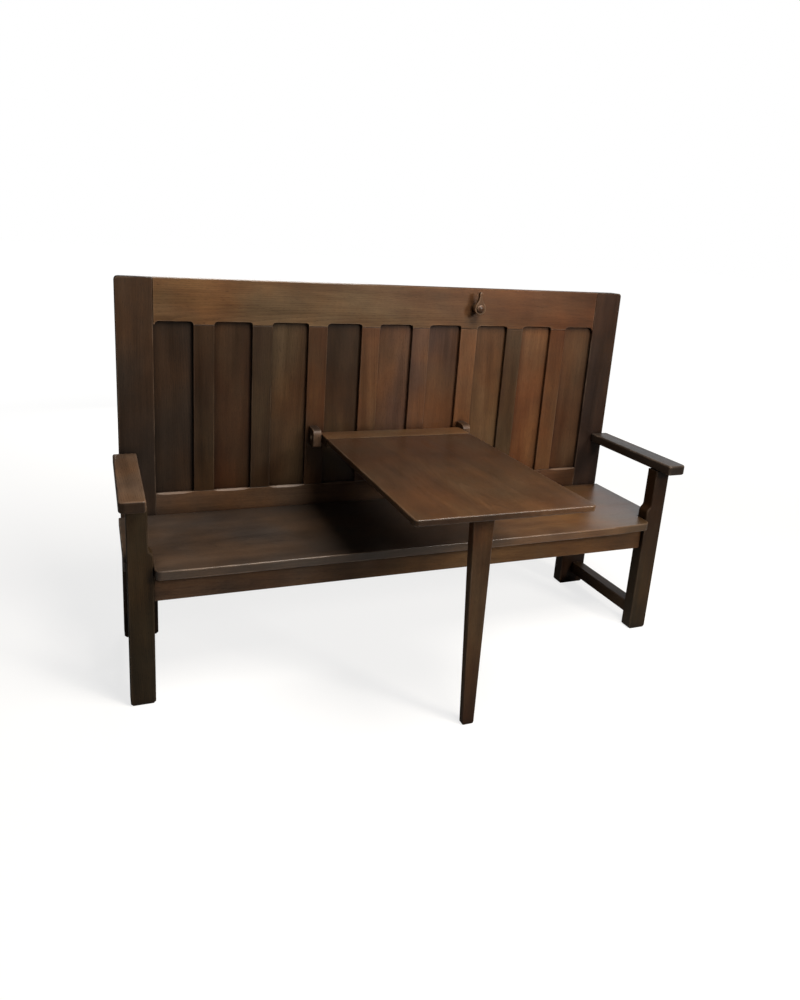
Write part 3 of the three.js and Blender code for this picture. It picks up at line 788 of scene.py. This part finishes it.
# %% [markdown]
# ## The seat
# The seat is one wide board. It is notched round the two front posts, and its nose runs out between
# them with round ends. Years of sitting have eased its front edge most, and have worn the nose back
# towards both ends, the right one more than the left. The outline says so with one extra corner a
# hand's width before each end, so the wear is in the shape and not only in the colour.

# %% Outline the seat
seat_low, seat_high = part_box("seat_board")
post_low, post_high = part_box("front_post_right")
FIT = 0.0003
SWEEP_RUN = 0.16
SWEEP_ROUND = 0.05
WORN_RIGHT = {"worn_back": 0.012, "nose_radius": 0.026}
WORN_LEFT = {"worn_back": 0.004, "nose_radius": 0.02}
NOTCH_ROUND = 0.004
REAR_ROUND = 0.003
notch_x = post_low.x - FIT
notch_y = post_high.y + FIT


def seat_half(worn_back, nose_radius):
    """The right half of the seat's outline, from the nose round the post to the rear edge."""
    return [
        (notch_x - SWEEP_RUN, seat_low.y, SWEEP_ROUND),
        (notch_x, seat_low.y + worn_back, nose_radius),
        (notch_x, notch_y, 0),
        (seat_high.x, notch_y, NOTCH_ROUND),
        (seat_high.x, seat_high.y, REAR_ROUND),
    ]


right_half = seat_half(**WORN_RIGHT)
left_half = [(-x, y, radius) for x, y, radius in reversed(seat_half(**WORN_LEFT))]
print("the seat's nose is", round(2 * notch_x * 1000), "mm long")

# %% Make the seat
# The stain is grey at the left, with dust and a painted sheen; a band of painted window light makes it
# warmer, and painted shade darkens the right end.
SEAT_EASE = 0.0055
SEAT_STEPS = 4
# Painted window light: the seat is stained lighter and warmer where the window lamp falls.
PAINTED_WINDOW_LIGHT = ("umber", 1.45, 0.1, 0.6)
# Painted shade: the right end of the seat is stained darker.
SHADED_END = ("umber", 0.6, 0.64, 0.88)
# Edge wear along the seat, strongest at the left: wear, and a painted highlight on the front edge.
SEAT_WEAR_AND_HIGHLIGHT = (-0.6, -0.1, 1.5, 0.9)

outline = right_half + left_half
seat_shape = board_shape(outline, "z", seat_low.z, seat_high.z, SEAT_EASE, SEAT_STEPS)
seat = finish_piece("seat_plank", seat_shape, "bench", ["seat_board"])
wood = oak(
    "oak_seat_plank",
    "dust_and_sheen",
    0.72,
    "x",
    middle_of("seat_board"),
    polish=0.33,
    wear_and_highlight=SEAT_WEAR_AND_HIGHLIGHT,
    coat=0.5,
    changes=[PAINTED_WINDOW_LIGHT, SHADED_END],
    contrast=0.6,
)
dress(seat, wood)

# %% [markdown]
# ## The sill under the panels
# The bottom rail of the back shows as a low sill above the seat. Its front edge is planed off below each
# panel, and the cut runs out in a curve before it reaches the upright boards. A bevel takes the same
# amount everywhere, so it can't do that. Instead the rail's cross-section, with its groove for the
# panels, is extruded to full length in one go and sliced into short lengths with cutting planes. The
# slices leave points along the front edge, and these are moved in by as much as the plane took there.

# %% Draw the rail's cross-section
rail_low, rail_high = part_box("back_bottom_rail")
panel_low, panel_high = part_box("back_panel_1")
SILL_CUT = 0.0058
SILL_EDGE = 0.0003
SILL_EASE = 0.0015
groove_depth = rail_high.z - panel_low.z + FIT
groove_front = panel_low.y - FIT
groove_rear = panel_high.y + FIT
sill_section = [
    (rail_low.y + SILL_EASE, rail_low.z),
    (rail_low.y, rail_low.z + SILL_EASE),
    (rail_low.y, rail_high.z - SILL_EDGE),
    (rail_low.y + SILL_EDGE, rail_high.z),
    (groove_front, rail_high.z),
    (groove_front, rail_high.z - groove_depth),
    (groove_rear, rail_high.z - groove_depth),
    (groove_rear, rail_high.z),
    (rail_high.y - SILL_EASE, rail_high.z),
    (rail_high.y, rail_high.z - SILL_EASE),
    (rail_high.y, rail_low.z + SILL_EASE),
    (rail_high.y - SILL_EASE, rail_low.z),
]
print("sill section:", len(sill_section), "corners, groove", round(groove_depth * 1000, 1), "mm deep")

# %% Extrude the rail
stile_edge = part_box("back_stile_right")[0].x
sill_end = stile_edge - FIT
sill_shape = bmesh.new()
sill_verts = [sill_shape.verts.new((-sill_end, y, z)) for y, z in sill_section]
draw_out(sill_shape, sill_shape.faces.new(sill_verts), (2 * sill_end, 0, 0))
caps = [face for face in sill_shape.faces if len(face.verts) > 4]
bmesh.ops.triangulate(sill_shape, faces=caps)
print("sill:", round(2 * sill_end * 1000), "mm long")

# %% Slice it below each panel
SLICE_SHARES = [0.0, 0.03, 0.07, 0.13, 0.21, 0.32, 0.5, 0.68, 0.79, 0.87, 0.93, 0.97, 1.0]
uprights = [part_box(f"back_muntin_{number}") for number in range(1, len(MUNTINS) + 1)]
opening_starts = [-stile_edge] + [box[1].x for box in uprights]
opening_ends = [box[0].x for box in uprights] + [stile_edge]
openings = list(zip(opening_starts, opening_ends))
for left, right in openings:
    for share in SLICE_SHARES:
        x = left + share * (right - left)
        if abs(x) < sill_end:
            everything = sill_shape.verts[:] + sill_shape.edges[:] + sill_shape.faces[:]
            bmesh.ops.bisect_plane(
                sill_shape,
                geom=everything,
                plane_co=(x, 0, 0),
                plane_no=(1, 0, 0),
            )
print("openings:", len(openings), "and the sill has", len(sill_shape.verts), "points")

# %% Plane off its front edge
RUN_OUT_POWER = 3.5
SAME_PLACE = FIT / 10


def planed_width(x):
    """How much the plane took off the front edge at a place along the rail."""
    for left, right in openings:
        if left <= x <= right:
            share = (x - left) / (right - left)
            return SILL_EDGE + (SILL_CUT - SILL_EDGE) * (1 - abs(2 * share - 1) ** RUN_OUT_POWER)
    return SILL_EDGE


for vert in sill_shape.verts:
    width = planed_width(vert.co.x)
    at_front = abs(vert.co.y - rail_low.y) < SAME_PLACE
    at_top = abs(vert.co.z - rail_high.z) < SAME_PLACE
    if at_front and vert.co.z > rail_high.z - 2 * SILL_EDGE:
        vert.co.z = rail_high.z - width
    elif at_top and vert.co.y < rail_low.y + 2 * SILL_EDGE:
        vert.co.y = rail_low.y + width

SILL_CREASE = 20
AGED = ("russet", 0.6, 0.3, 0.8)
sill = finish_piece(
    "sill_rail", sill_shape, "bench", ["back_bottom_rail"], crease=SILL_CREASE
)
middle = middle_of("back_bottom_rail")
# The sill's planed strips, which look up and to the front, get a painted highlight.
wood = oak("oak_sill_rail", "ash", 1.0, "x", middle, wear_and_highlight=0.2, changes=[AGED], slope_highlight=0.22)
dress(sill, wood)

# %% [markdown]
# ## The arms
# An arm is a flat board with a round front end that reaches past its post. The outer corner is rounder
# than the inner one, and all its edges are worn smooth.

# %% Make the arms
ARM_OUTER = 0.018
ARM_INNER = 0.008
ARM_EASE = 0.006
ARM_STEPS = 5
ARM_THICKNESS = 0.034
# Each arm has its stain, the strength of it, and the light that its end grain keeps; the left arm's low
# share is partly painted shade on its front end.
ARMS = {"left": ("ash", 1.13, 0.25), "right": ("dust_and_sheen", 0.52, 0.6)}

arm_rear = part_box("back_stile_right")[0].y - FIT
for side, (stain, strength, ends) in ARMS.items():
    arm_low, arm_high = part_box(f"arm_{side}")
    inner, outer = sorted((arm_low.x, arm_high.x), key=abs)
    corners = [
        (inner, arm_rear, 0),
        (inner, arm_low.y, ARM_INNER),
        (outer, arm_low.y, ARM_OUTER),
        (outer, arm_rear, 0),
    ]
    arm_shape = board_shape(
        corners, "z", arm_high.z - ARM_THICKNESS, arm_high.z, ARM_EASE, ARM_STEPS
    )
    arm = finish_piece(f"arm_rest_{side}", arm_shape, "bench", [f"arm_{side}"])
    wood = oak(
        f"oak_arm_rest_{side}",
        stain,
        strength,
        "y",
        middle_of(f"arm_{side}"),
        polish=0.36,
        wear_and_highlight=1.4,
        coat=0.05,
        ends=ends,
    )
    dress(arm, wood)

# %% [markdown]
# ## The table top
# The table top is a thin board with its edges only just rounded. It meets the thicker pivot rail along
# its rear edge, and the two turn together. Its front edge is end grain, dark at the left and painted
# lighter towards the right as window light. The top is stained lighter towards the front.

# %% Make the table top
top_low, top_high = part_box("table_top")
TABLE_CORNER = 0.012
TABLE_EASE = 0.0035
TABLE_STEPS = 4
# Painted light: the table's end grain is made lighter towards the right, where the window lamp falls.
TABLE_ENDS_LIT_RIGHT = (-0.06, 0.26, 0.48, 1.7)
# The table top is stained lighter towards the front.
FRONT_LIGHTER = ("umber", 0.86, 0.08, -0.42)

table_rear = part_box("table_pivot_rail")[0].y - FIT
corners = [
    (top_low.x, table_rear, 0),
    (top_low.x, top_low.y, TABLE_CORNER),
    (top_high.x, top_low.y, TABLE_CORNER),
    (top_high.x, table_rear, 0),
]
table_shape = board_shape(corners, "z", top_low.z, top_high.z, TABLE_EASE, TABLE_STEPS)
table = finish_piece("table_board", table_shape, "table", ["table_top"])
wood = oak(
    "oak_table_board",
    "russet",
    0.35,
    "y",
    middle_of("table_top"),
    polish=0.34,
    wear_and_highlight=0.7,
    coat=0.3,
    changes=[FRONT_LIGHTER],
    ends=TABLE_ENDS_LIT_RIGHT,
)
dress(table, wood)

# %% [markdown]
# ## Turned pins, spacer and bolt
# Round fittings are lathe work: half of the outline is drawn as a line and spun about its axis.

# %% Helpers for lathe work
LATHE_STEPS = 48
LATHE_AXES = {"x": Vector((1, 0, 0)), "y": Vector((0, 1, 0))}


def turned_shape(profile, axis, centre):
    """Spins (radius, along) points about an axis through the centre."""
    shape = bmesh.new()
    along = LATHE_AXES[axis]
    verts = [
        shape.verts.new(centre + along * place + Vector((0, 0, radius)))
        for radius, place in profile
    ]
    edges = [shape.edges.new(pair) for pair in zip(verts, verts[1:])]
    bmesh.ops.spin(
        shape,
        geom=verts + edges,
        cent=centre,
        axis=along,
        angle=2 * math.pi,
        steps=LATHE_STEPS,
        use_merge=True,
    )
    bmesh.ops.remove_doubles(shape, verts=shape.verts, dist=MERGE_DISTANCE)
    return shape


def round_nose(radius, start, length, steps):
    """The quarter ellipse that closes a turned end."""
    points = []
    for i in range(steps + 1):
        angle = i / steps * math.pi / 2
        points.append((radius * math.cos(angle), start + length * math.sin(angle)))
    return points


# %% Turn the pins
PIN_NOSE = 0.0015
PIN_STEPS = 4
PINS = {
    "pivot_pin_left": ("table_pin_left", "bench"),
    "pivot_pin_right": ("table_pin_right", "bench"),
    "leg_pivot_pin": ("leg_pin", "table"),
}

for node, (name, body) in PINS.items():
    low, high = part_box(node)
    radius = (high.z - low.z) / 2
    centre = Vector((low.x, (low.y + high.y) / 2, (low.z + high.z) / 2))
    length = high.x - low.x
    nose = round_nose(radius, length - PIN_NOSE, PIN_NOSE, PIN_STEPS)
    back = [(r, length - place) for r, place in reversed(nose)]
    pin = finish_piece(name, turned_shape(back + nose, "x", centre), body, [node])
    # The pins are painted nearly white, with their end grain kept at full light, as a painted glint on
    # their ends.
    dress(pin, oak(f"oak_{name}", "pale_glint", 2.1, "x", middle_of(node), coat=0.3, ends=1.0))

# %% [markdown]
# ## The turn button
# The button is a pear-shaped piece of oak on a bolt. It stands off the top rail, so that it can close
# over the edge of the raised table. Its bolt has a domed round head.

# %% Outline the turn button
# Corner roundings that touch would leave a doubled point, so each keeps just clear of the next.
button_low, button_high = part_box("turn_button")
bolt_low, bolt_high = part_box("turn_button_bolt")
bolt_x = (bolt_low.x + bolt_high.x) / 2
bolt_z = (bolt_low.z + bolt_high.z) / 2
SHOULDER = math.radians(36)
TIP = 0.006
NECK_ROUND = 0.012
TOUCH = 0.98

lobe = (button_high.x - button_low.x) / 2
lean = lobe * math.tan(SHOULDER / 2)
neck_rise = lobe * math.sin(SHOULDER) + (lobe * math.cos(SHOULDER) - TIP) / math.tan(SHOULDER)
pear_half = [
    (lobe, bolt_z - lobe, lobe * TOUCH),
    (lobe, bolt_z + lean, lean * TOUCH),
    (TIP, bolt_z + neck_rise, NECK_ROUND),
    (TIP, button_high.z, TIP * TOUCH),
]
pear_right = [(bolt_x + x, z, radius) for x, z, radius in pear_half]
pear_left = [(bolt_x - x, z, radius) for x, z, radius in reversed(pear_half)]
print("the button is", round((button_high.z - button_low.z) * 1000, 1), "mm long")

# %% Make the turn button
BUTTON_EASE = 0.003
BUTTON_STEPS = 4
outline = pear_right + pear_left
button_shape = board_shape(outline, "y", button_low.y, button_high.y, BUTTON_EASE, BUTTON_STEPS)
button = finish_piece("turn_button_pear", button_shape, "button", ["turn_button"])
wood = oak(
    "oak_turn_button_pear",
    "umber",
    1.1,
    "z",
    middle_of("turn_button"),
    polish=0.36,
    wear_and_highlight=0.7,
    coat=0.2,
)
dress(button, wood)

# %% Turn the bolt
SHANK = 0.006
HEAD_RISE = 0.008
HEAD_RIM = 0.0015
HEAD_STEPS = 7

head = (bolt_high.x - bolt_low.x) / 2
reach = bolt_high.y - bolt_low.y
under_head = reach - HEAD_RISE
dome = round_nose(head, under_head + HEAD_RIM, HEAD_RISE - HEAD_RIM, HEAD_STEPS)
profile = [(0, 0), (SHANK, 0), (SHANK, -under_head), (head, -under_head)]
profile += [(r, -place) for r, place in dome]
bolt_shape = turned_shape(profile, "y", Vector((bolt_x, bolt_high.y, bolt_z)))
bolt = finish_piece("button_bolt", bolt_shape, "bench", ["turn_button_bolt"])
wood = oak(
    "oak_button_bolt",
    "plum",
    1.3,
    "y",
    middle_of("turn_button_bolt"),
    polish=0.34,
    wear_and_highlight=0.6,
    coat=0.2,
)
dress(bolt, wood)

# %% Turn the spacer
spacer_low, spacer_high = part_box("turn_button_spacer")
SPACER_EASE = 0.002
BORE = SHANK + FIT

rim = (spacer_high.x - spacer_low.x) / 2
length = spacer_high.y - spacer_low.y
profile = [
    (BORE, 0),
    (rim - SPACER_EASE, 0),
    (rim, SPACER_EASE),
    (rim, length - SPACER_EASE),
    (rim - SPACER_EASE, length),
    (BORE, length),
    (BORE, 0),
]
spacer_shape = turned_shape(profile, "y", Vector((bolt_x, spacer_low.y, bolt_z)))
spacer = finish_piece("button_spacer", spacer_shape, "bench", ["turn_button_spacer"])
dress(spacer, oak("oak_button_spacer", "umber", 0.7, "y", middle_of("turn_button_spacer")))
